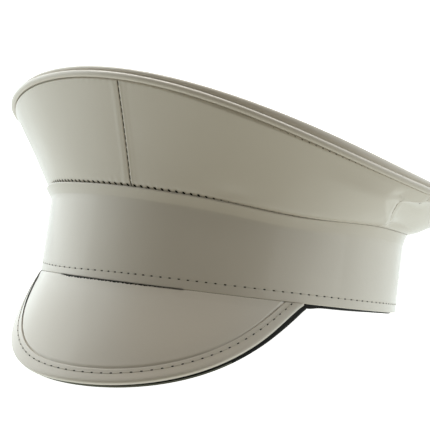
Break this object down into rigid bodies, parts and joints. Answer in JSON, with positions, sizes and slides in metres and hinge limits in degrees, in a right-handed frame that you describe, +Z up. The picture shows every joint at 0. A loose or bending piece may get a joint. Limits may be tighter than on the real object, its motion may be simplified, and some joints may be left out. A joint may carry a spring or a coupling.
{
  "type": "peaked cap",
  "caption": "Peaked cap with a flared four-panel crown, piped rim, upright head band and a steep bound peak, resting on its peak and the back of its band.",
  "frame": {"origin": "on the surface that the cap rests on, under the middle of its bounding box", "axes": "+Z up, -Y towards the peak, +X towards the wearer's left"},
  "size_m": [0.2424, 0.287, 0.1407],
  "materials": {
    "patent_vinyl": "glossy ivory patent vinyl",
    "sweatband_leather": "dull black leather",
    "underlay_vinyl": "grained black vinyl"
  },
  "bodies": {
    "root": {"crown_front_left": "patent_vinyl", "crown_front_right": "patent_vinyl", "crown_back_left": "patent_vinyl", "crown_back_right": "patent_vinyl", "crown_top": "patent_vinyl", "rim_piping": "patent_vinyl", "band": "patent_vinyl", "sweatband": "sweatband_leather", "peak": "patent_vinyl", "peak_binding": "patent_vinyl", "peak_underlay": "underlay_vinyl"}
  },
  "joints": []
}
